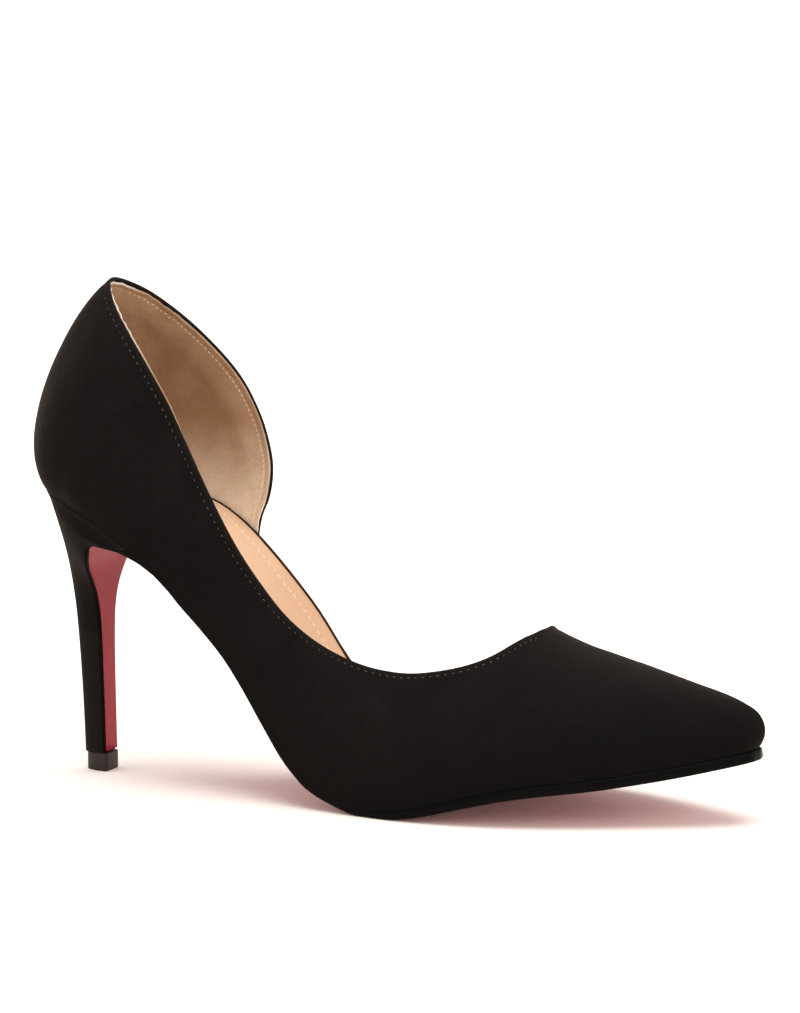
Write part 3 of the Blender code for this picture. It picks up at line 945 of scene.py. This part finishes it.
def raspberry_sole():
    """Moulded sole sheet with a plain raspberry lacquer: smooth, satin, with faint rub marks."""
    made, tree, shader, place = material("raspberry_sole_lacquer")
    cloud = node(tree, "ShaderNodeTexNoise", Vector=place, Scale=per(28.0), Detail=3.0, Roughness=0.55)
    rub = node(tree, "ShaderNodeTexNoise", Vector=place, Scale=per(2.4), Detail=3.0, Roughness=0.6)
    tone = node(tree, "ShaderNodeValToRGB", stops=((0.35, "#921726"), (0.65, "#9e1d2e")), Fac=cloud)
    rough = node(tree, "ShaderNodeMapRange", i0=rub, i1=0.3, i2=0.7, i3=0.30, i4=0.42)
    bump = node(tree, "ShaderNodeBump", Strength=0.08, Distance=0.1 * MM, Height=rub)
    fill(tree, shader, Base_Color=tone, Roughness=rough, Normal=bump, Specular_IOR_Level=0.08)
    return made


def edge_paint(name, code):
    """Edge paint brushed on a cut edge: thick and smooth, with a satin gloss that is slightly uneven."""
    made, tree, shader, place = material(name)
    wave = node(tree, "ShaderNodeTexNoise", Vector=place, Scale=per(3.8), Detail=2.0, Roughness=0.5)
    rough = node(tree, "ShaderNodeMapRange", i0=wave, i1=0.3, i2=0.7, i3=0.32, i4=0.46)
    bump = node(tree, "ShaderNodeBump", Strength=0.15, Distance=0.3 * MM, Height=wave)
    fill(tree, shader, Base_Color=srgb(code), Roughness=rough, Normal=bump, Specular_IOR_Level=0.04)
    return made


def black_lift():
    """Injection-moulded polyurethane top lift: glossy black with faint moulding ripple."""
    made, tree, shader, place = material("black_moulded_lift")
    wave = node(tree, "ShaderNodeTexNoise", Vector=place, Scale=per(3.3), Detail=2.0, Roughness=0.5)
    rough = node(tree, "ShaderNodeMapRange", i0=wave, i1=0.3, i2=0.7, i3=0.16, i4=0.28)
    bump = node(tree, "ShaderNodeBump", Strength=0.10, Distance=0.2 * MM, Height=wave)
    fill(tree, shader, Base_Color=srgb("#38312e"), Roughness=rough, Normal=bump, Specular_IOR_Level=0.06)
    return made


def thread(name, dark, light):
    """Spun polyester sewing thread: matt, with light and dark flecks where its ply turns."""
    made, tree, shader, place = material(name)
    # The turns of the ply are finer than a pixel, so they are drawn 0.65 mm apart to show
    ply = node(tree, "ShaderNodeTexNoise", Vector=place, Scale=per(0.65), Detail=1.0)
    tone = node(tree, "ShaderNodeValToRGB", stops=((0.35, dark), (0.65, light)), Fac=ply)
    fill(tree, shader, Base_Color=tone, Roughness=0.6)
    return made


def white_paper():
    """Matt studio paper, lit a little by itself so that shadows on it stay pale."""
    made, tree, shader = material("white_paper")[:3]
    fill(tree, shader, Base_Color=srgb("#fbf4ec"), Roughness=1.0, Specular_IOR_Level=0.0)
    fill(tree, shader, Emission_Color=srgb("#fff8ee"), Emission_Strength=0.03)
    return made


def put(name, data):
    """New object at the origin that shows a mesh, a light or a camera."""
    made = bpy.data.objects.new(name, data)
    bpy.context.scene.collection.objects.link(made)
    return made


def put_mesh(name, bm, materials):
    """New object with the mesh and its materials."""
    mesh = bpy.data.meshes.new(name)
    bm.to_mesh(mesh)
    bm.free()
    for made in materials:
        mesh.materials.append(made)
    return put(name, mesh)


def add_piece(name, bm, materials, slot, *nodes):
    """Piece of the shoe, riding on its one body."""
    piece = put_mesh(name, bm, materials)
    piece.data.shade_smooth()
    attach(piece, "root")
    if nodes:
        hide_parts(*nodes)
    return piece


def shell(piece, thick):
    """Wall thickness inwards, with its cut edges rounded."""
    wall = piece.modifiers.new("wall", "SOLIDIFY")
    wall.thickness = thick * MM
    wall.offset = -1.0
    edge = piece.modifiers.new("edge", "BEVEL")
    edge.width = thick * CUT_ROUND * MM
    edge.segments = CUT_STEPS
    edge.limit_method = "ANGLE"
    edge.angle_limit = np.radians(CUT_SHARP)


def rim_path(side, first, last, count):
    """Points along the topline between two stations."""
    s = np.linspace(first, last, count)
    return upper_wall(side, s, np.array([0.0, 1.0]))[:, 1]


def distance_to(points, path):
    """Distance of each point to the nearest point of a close-set path, worked out in batches."""
    return np.concatenate([
        np.sqrt(((part[:, None, :] - path[None, :, :]) ** 2).sum(-1).min(1))
        for part in np.array_split(points, 40)
    ])


def mm_places(bm):
    """Places of the vertices in the millimetres of the tables."""
    return np.array([v.co for v in bm.verts]) / MM + CENTRE


def store(bm, name, values):
    """Keeps a value for each vertex, which a material reads by name."""
    layer = bm.verts.layers.float.new(name)
    for vert, value in zip(bm.verts, values):
        vert[layer] = float(value)


def sink(bm, depths):
    """Moves each vertex of a shell inwards by its own depth."""
    for vert, deep in zip(bm.verts, depths):
        vert.co -= vert.normal * (deep * MM)
    bm.normal_update()


def sides_of(places):
    """Side of the shoe on which each place lies, parted at the middle of the vamp."""
    return np.where(places[:, 1] < VAMP_MIDDLE, OUTER, INNER)


def crease_depth(table, places):
    """Depth of the listed troughs and ridges at each place."""
    depth = np.zeros(len(places))
    flat = places[:, (0, 2)]
    for side, x0, z0, x1, z1, width, deep in table:
        start = np.array((x0, z0))
        line = np.array((x1, z1)) - start
        along = np.clip(((flat - start) @ line) / (line @ line), -CREASE_PAST, 1 + CREASE_PAST)
        apart = np.linalg.norm(flat - start - along[:, None] * line, axis=-1)
        taper = bulge(np.maximum(np.abs(along - 0.5), CREASE_CORE), CREASE_CORE, CREASE_FADE, 1.0)
        depth += bulge(apart, 0.0, width, deep) * taper * (sides_of(places) == side)
    return depth


def make_suede():
    """Suede shell of the upper, creased, dipping at its seam and rolled at its edge. Returns its surface."""
    s = stations(COLUMNS, COLUMN_SPLIT)
    outer = wall_columns(OUTER, s, 0 * s, tuck=True)
    inner = wall_columns(INNER, s[::-1], 0 * s, tuck=True)
    bm = grid_mesh(np.concatenate([outer, inner[1:]]))
    point_outwards(bm)
    places = mm_places(bm)
    rims = [rim_path(OUTER, THROAT, 1.0, RIM_POINTS), rim_path(INNER, 1.0, THROAT, RIM_POINTS)]
    away = distance_to(places, np.concatenate(rims))
    sewn = level(TOP_AWAY, places[:, 0])[:, 0]
    dip = bulge(away, sewn, *SEAM_DIP) - bulge(away, sewn * ROLL_AT, *EDGE_ROLL)
    sink(bm, crease_depth(CREASES, places) + dip)
    store(bm, "rim", away)
    # Height over the sole, which the material reads to paint shade at the foot
    store(bm, "foot", places[:, 2] - base_height(places[:, 0], places[:, 1]))
    surface = BVHTree.FromBMesh(bm)
    piece = add_piece("upper_suede", bm, [SUEDE], "upper", "upper")
    shell(piece, SUEDE_THICK)
    return surface


def make_lining():
    """Padded lining inside the suede, from the toe box to the back. Returns its inner surface."""
    s = stations(COLUMNS, COLUMN_SPLIT)
    s = s[s > LINING_START]
    drop = level(LINING_DROP, np.maximum(s, THROAT))
    drop[s < THROAT] = 0.0
    ragged = sum(high * np.sin(s * turn + start) for high, turn, start in RAGGED_WAVES)
    drop += (ragged * part_way(s, *RAGGED_FROM))[:, None]
    outer = wall_columns(OUTER, s, drop[:, 0], LINING_FOOT)
    inner = wall_columns(INNER, s[::-1], drop[::-1, 1], LINING_FOOT)
    bm = grid_mesh(np.concatenate([outer, inner[1:]]))
    point_outwards(bm)
    places = mm_places(bm)
    cut = np.concatenate([outer[s >= THROAT, 0], inner[s[::-1] >= THROAT, 0][1:]])
    away = distance_to(places, finer(cut[:, None, :], CUT_SPLIT)[:, 0])
    inside = sides_of(places) == INNER
    padded = np.where(inside, part_way(places[:, 2], *FLAP_PADDING), part_way(places[:, 0], *QUARTER_PADDING))
    swell = (bulge(away, *PADDING) - bulge(away, *SEAM_DENT)) * padded
    fold = np.maximum(swell - crease_depth(FOLDS, places), -DEEPEST_FOLD)
    sink(bm, SUEDE_THICK + LINING_GAP + fold)
    store(bm, "rim", away)
    frayed = np.where(inside, part_way(places[:, 2], *FRAYED_INNER), part_way(places[:, 2], *FRAYED_OUTER))
    store(bm, "frayed", frayed)
    inner_face = bm.copy()
    sink(inner_face, np.full(len(places), LINING_THICK))
    surface = BVHTree.FromBMesh(inner_face)
    inner_face.free()
    piece = add_piece("upper_lining", bm, [LINING], "upper")
    shell(piece, LINING_THICK)
    return surface


def sock_lines():
    """Lower and upper surface of the sock, spreading out with the wall beside it."""
    across = np.linspace(0.0, 1.0, SHEET_ACROSS)
    surfaces = []
    for lifted in (0.0, 1.0):
        rows = []
        for s in stations(SECTIONS):
            spread = lifted * SOCK_THICK * np.tan(np.radians(smooth(WALL_LEAN, s)[0, 0]))
            inset = level(SOCK_INSET, [s])[0]
            left = outline(OUTER, s, spread - inset[0])[0][0]
            right = outline(INNER, s, spread - inset[1])[0][0]
            plan = left + (right - left) * across[:, None]
            pad = smooth(PAD_SHARE, plan[:, 0])[:, 0] * across ** PAD_RISE
            thick = (SOCK_THICK + ARCH_PAD * pad) * stretch(plan[:, 0])
            rows.append(np.column_stack([plan, base_height(plan[:, 0], plan[:, 1]) + lifted * thick]))
        surfaces.append(np.array(rows))
    return surfaces


def breast_inward():
    """Direction from the face of the flap into the heel, for each row of the breast."""
    path = np.asarray(BREAST)[:, :2]
    along = unit(np.gradient(path, axis=0))
    return np.column_stack([along[:, 1], 0 * along[:, 0], -along[:, 0]])


def twist(x, z):
    """Rise of the seat's arch side over its outer side, dying out down the heel."""
    return smooth(LAST_BOTTOM, x)[0, 1] * part_way(z, *TWIST_END)


def sole_lines():
    """Lower and upper surface of the sole, from the toe to the end of the flap on the breast."""
    across = np.linspace(0.0, 1.0, SHEET_ACROSS)
    faces, backs = [], []
    for s in stations(SECTIONS)[:LAST_SOLE_SECTION + 1]:
        reach = level(SOLE_EDGE, [s])[0, 0]
        left = outline(OUTER, s, reach)[0][0]
        right = outline(INNER, s, reach)[0][0]
        plan = left + (right - left) * across[:, None]
        top = base_height(plan[:, 0], plan[:, 1]) - SEAM * stretch(plan[:, 0])
        slope = base_slope(plan[:, 0], plan[:, 1])[:, None]
        down = unit(np.column_stack([slope, 0 * slope, -np.ones_like(slope)]))
        upper = np.column_stack([plan, top])
        faces.append(upper + down * smooth(SOLE_DEPTH, plan[:, 0]))
        backs.append(upper)
    for (x, z, outer, inner, thick), inward in zip(BREAST, breast_inward()):
        side = -outer + (outer + inner) * across
        face = np.column_stack([x + 0 * side, side, z + twist(x, z) * across])
        faces.append(face)
        backs.append(face + inward * thick)
    return np.array(faces), np.array(backs)


def make_sock():
    """Padded sock with rounded edges. Returns its surface and the rows of its upper side."""
    lower, upper = (finer(lines, SHEET_SPLIT) for lines in sock_lines())
    bm = slab(lower, upper, SOCK_ROUND)
    surface = BVHTree.FromBMesh(bm)
    add_piece("sock", bm, [SOCK], "insole", "insole")
    return surface, upper


def make_sole():
    """Thin sole with painted edges, and its flap on the heel breast."""
    faces, backs = (finer(lines, SHEET_SPLIT) for lines in sole_lines())
    faces[:, :, 2] = np.maximum(faces[:, :, 2], 0.0)
    bm = slab(faces, backs, SOLE_ROUND, edge=1)
    add_piece("sole", bm, [RASPBERRY, EDGE_PAINT], "outsole", "outsole")


def d_section(count):
    """Half-round back and flat front in unit size: distance from the back and share of the half width."""
    angle = np.linspace(-0.5, 0.5, count) * np.pi
    return 1.0 - np.cos(angle), np.sin(angle)


def seat_outline(back):
    """Edge of the heel seat in plan, with its points as far from the back as those of a section."""
    rows = np.asarray(FEATHER)[::-1]
    front = np.interp(SEAT_FRONT, rows[:, 1], rows[:, 0])
    fine = np.linspace(front, 1.0, SEAT_POINTS)
    reach = outline(OUTER, fine)[0][:, 0]
    s = np.interp(reach[-1] + (reach[0] - reach[-1]) * back, reach[::-1], fine[::-1])
    half = len(back) // 2
    return np.concatenate([outline(OUTER, s[:half])[0], outline(INNER, s[half:])[0]])


def heel_sections(back, wide):
    """Sections of the heel from under the seat to the top lift, each flat behind the flap."""
    sections = []
    for (back_x, back_z, roundness), row, inward in zip(HEEL, BREAST, breast_inward()):
        x, z, outer, inner, thick = row
        front_x = x + inward[0] * (thick + FLAP_GAP)
        front_z = z + FRONT_IN_SOLE * thick * max(inward[2], 0.0)
        along = back_x + (front_x - back_x) * back
        height = back_z + (front_z - back_z) * back + twist(x, z) * (wide + 1) / 2
        width = np.where(wide < 0, outer, inner) + FLAP_GAP
        sections.append(np.column_stack([along, width * np.sign(wide) * np.abs(wide) ** roundness, height]))
    sections[-1][:, 2] = HEEL[-1][1]
    return sections


def make_heel():
    """Suede cover of the heel, its sides eased from the round seat into the slim stem."""
    back, wide = d_section(HEEL_POINTS)
    plan = seat_outline(back)
    seats = []
    for size in SEAT_RINGS:
        ring = SEAT_MIDDLE + (plan - SEAT_MIDDLE) * size
        top = base_height(ring[:, 0], ring[:, 1]) - SEAM * stretch(ring[:, 0])
        seats.append(np.column_stack([ring, top]))
    edge = seats.pop() - (0.0, 0.0, SEAT_ROUND)
    body = finer(np.array([edge] + heel_sections(back, wide)), HEEL_SPLIT)
    held = (np.abs(wide) ** HELD_FRONT)[:, None]
    for _ in range(HEEL_EASING):
        between = 0.5 * body[1:-1] + 0.25 * (body[:-2] + body[2:])
        body[1:-1] = body[1:-1] * held + between * (1 - held)
    bm = loft(np.concatenate([seats, body]))
    places = mm_places(bm)
    away = distance_to(places, np.concatenate([edge, (edge[1:] + edge[:-1]) / 2]))
    # Painted light: the heel's stem counts as close to an edge, so it turns grey like a highlight
    store(bm, "rim", np.minimum(away, STEM_AS_EDGE + part_way(places[:, 2], *STEM_PAINTED_LIGHT) * REST_AS_EDGE))
    # Painted shade under the seat, which the material reads as a dark foot
    store(bm, "foot", part_way(places[:, 2], *SEAT_PAINTED_SHADE) * FOOT_PAINTED_SHADE[1])
    add_piece("heel_cover", bm, [HEEL_SUEDE], "heel", "heel")


def make_lift():
    """Top lift with rounded corners, then rounded rims."""
    back, wide = d_section(LIFT_POINTS)
    x = LIFT_BACK + LIFT_LONG * back
    bm = loft(np.array([np.column_stack([x, LIFT_HALF * wide, z + 0 * x]) for z in (0.0, LIFT_HIGH)]))
    # The corners are the upright edges, and the rims are all that is sharp after them
    for (offset, steps), least_rise in ((LIFT_CORNERS, 0.5 * LIFT_HIGH * MM), (LIFT_RIMS, -1.0)):
        sharp = [
            e for e in bm.edges
            if len(e.link_faces) == 2 and e.calc_face_angle() > np.radians(LIFT_SHARP)
            and abs(e.verts[0].co.z - e.verts[1].co.z) > least_rise
        ]
        bmesh.ops.bevel(
            bm, geom=sharp, offset=offset * MM, segments=steps, profile=0.5, affect="EDGES", material=-1
        )
    add_piece("top_lift_tip", bm, [LIFT], "top_lift", "top_lift")


def seam_line(path, surface, distance, towards):
    """Line on a surface beside a path, at distances that go by x, walked in from the path in short steps."""
    beside = level(distance, path[:, 0])[:, 0]
    path = (path - CENTRE) * MM
    line = []
    for place, along, away in zip(path, unit(np.gradient(path, axis=0)), beside):
        spot = Vector(place)
        for _ in range(SEAM_STEPS):
            near, normal = surface.find_nearest(spot)[:2]
            inward = normal.cross(Vector(along)).normalized()
            inward *= 1.0 if inward.dot(Vector(towards)) > 0 else -1.0
            spot = near + inward * (away * MM / SEAM_STEPS)
        line.append(surface.find_nearest(spot)[0])
    return np.array(line)


def sew(bm, line, surface, seam):
    """Sews stitches into a mesh along a line on a surface, no two quite alike."""
    pitch, long, wide, high = seam
    reach = lengths(line)
    thread_line = np.column_stack([reach, line])
    middles = np.arange(pitch * 0.5, reach[-1] / MM, pitch) * MM
    for place, ahead in zip(level(thread_line, middles), level(thread_line, middles + LOOK_AHEAD * MM)):
        near, normal = surface.find_nearest(Vector(place))[:2]
        along = (Vector(ahead) - Vector(place)).normalized()
        along = Matrix.Rotation(HAND.uniform(-HAND_TURN, HAND_TURN), 3, normal) @ along
        across = normal.cross(along).normalized()
        normal = along.cross(across)
        size = Matrix.Diagonal((long * HAND.uniform(*HAND_LENGTH) * MM, wide * MM, high * MM, 1.0))
        turn = Matrix((along, across, normal)).transposed().to_4x4()
        spot = Matrix.Translation(near - normal * (HAND.uniform(*HAND_SINK) * high * MM))
        bmesh.ops.create_uvsphere(bm, u_segments=8, v_segments=6, radius=0.5, matrix=spot @ turn @ size)


def make_topline_stitches(name, made, surface, seam, distance, rows):
    """One piece of stitches along the toplines, from the parts of its row."""
    bm = bmesh.new()
    for side, first, last, count, towards in rows:
        sew(bm, seam_line(rim_path(side, first, last, count), surface, distance, towards), surface, seam)
    add_piece(name, bm, [made], "upper")


def make_sock_stitches(surface, upper):
    """Stitches along both edges of the sock, in from its inner and its outer edge."""
    bm = bmesh.new()
    first, last = SOCK_AWAY[0][0], SOCK_AWAY[-1][0]
    for edge, towards in ((-1, (0, -1, 0)), (0, (0, 1, 0))):
        path = np.array([row[edge] for row in upper if first < row[edge][0] < last])
        sew(bm, seam_line(path, surface, SOCK_AWAY, towards), surface, SOCK_STITCH)
    add_piece("sock_stitches", bm, [CREAM_THREAD], "insole")


def make_sock_edge(upper):
    """Thick painted edge of the sock along the open arch."""
    path = np.array([row[-1] for row in upper if SOCK_BEAD[0][0] < row[-1][0] < SOCK_BEAD[-1][0]])
    along = unit(np.gradient(path, axis=0))
    side = unit(np.cross(along, (0.0, 0.0, 1.0)))
    up = np.cross(side, along)
    turn = np.linspace(0.0, 2 * np.pi, BEAD_POINTS, endpoint=False)
    around = side[:, None, :] * np.cos(turn)[None, :, None] + up[:, None, :] * np.sin(turn)[None, :, None]
    rings = path[:, None, :] + around * level(SOCK_BEAD, path[:, 0])[:, None]
    add_piece("sock_edge", loft(rings), [BROWN_EDGE], "insole")


def make_floor():
    """Plain white floor under the shoe."""
    bm = bmesh.new()
    bmesh.ops.create_grid(bm, x_segments=1, y_segments=1, size=FLOOR_HALF)
    put_mesh("floor", bm, [white_paper()])


def make_studio():
    """White surroundings and soft suns."""
    scene = bpy.context.scene
    scene.world = bpy.data.worlds.new("studio")
    scene.world.use_nodes = True
    tree = scene.world.node_tree
    fill(tree, tree.nodes["Background"], Color=SKY_COLOUR, Strength=SKY_STRENGTH)
    for name, towards, energy, spread in SUNS:
        light = bpy.data.lights.new(name, "SUN")
        light.energy = energy
        light.angle = np.radians(spread)
        lamp = put(name, light)
        lamp.location = Vector(towards).normalized() * SUN_AWAY
        lamp.rotation_mode = "QUATERNION"
        lamp.rotation_quaternion = Vector(towards).to_track_quat("Z", "Y")
    scene.view_settings.view_transform = "Standard"


def make_camera():
    """Camera at the photograph's angle."""
    azimuth, elevation = np.radians(CAMERA_ROUND), np.radians(CAMERA_UP)
    back = Vector((
        np.sin(azimuth) * np.cos(elevation),
        -np.cos(azimuth) * np.cos(elevation),
        np.sin(elevation),
    ))
    lens = bpy.data.cameras.new("camera")
    lens.sensor_width = SENSOR
    lens.lens = FOCAL_PIXELS * SENSOR / FRAME_PIXELS
    lens.clip_start = 0.05
    lens.clip_end = 50.0
    camera = put("camera", lens)
    camera.location = Vector(CAMERA_AIM) * MM + back * CAMERA_AWAY
    camera.rotation_mode = "QUATERNION"
    camera.rotation_quaternion = back.to_track_quat("Z", "Y")
    bpy.context.scene.camera = camera


SUEDE = black_suede("black_goat_suede")
HEEL_SUEDE = black_suede("black_heel_suede")
LINING = beige_lining()
SOCK = peach_sock()
RASPBERRY = raspberry_sole()
EDGE_PAINT = edge_paint("black_edge_paint", "#090706")
BROWN_EDGE = edge_paint("brown_edge_paint", "#3c2519")
LIFT = black_lift()
DARK_THREAD = thread("grey_black_thread", "#242120", "#423c38")
TAN_THREAD = thread("tan_thread", "#d0b189", "#e8d0a9")
CREAM_THREAD = thread("cream_thread", "#ead0a6", "#f6e0bb")

suede_face = make_suede()
lining_face = make_lining()
sock_face, sock_upper = make_sock()
make_sole()
make_heel()
make_lift()
make_topline_stitches("topline_stitches", DARK_THREAD, suede_face, TOP_STITCH, TOP_AWAY, TOP_ROWS)
make_topline_stitches("lining_stitches", TAN_THREAD, lining_face, LINING_STITCH, LINING_AWAY, LINING_ROWS)
make_topline_stitches("flap_stitches", CREAM_THREAD, lining_face, LINING_STITCH, LINING_AWAY, FLAP_ROWS)
make_sock_stitches(sock_face, sock_upper)
make_sock_edge(sock_upper)
make_floor()
make_studio()
make_camera()

bpy.context.view_layer.update()
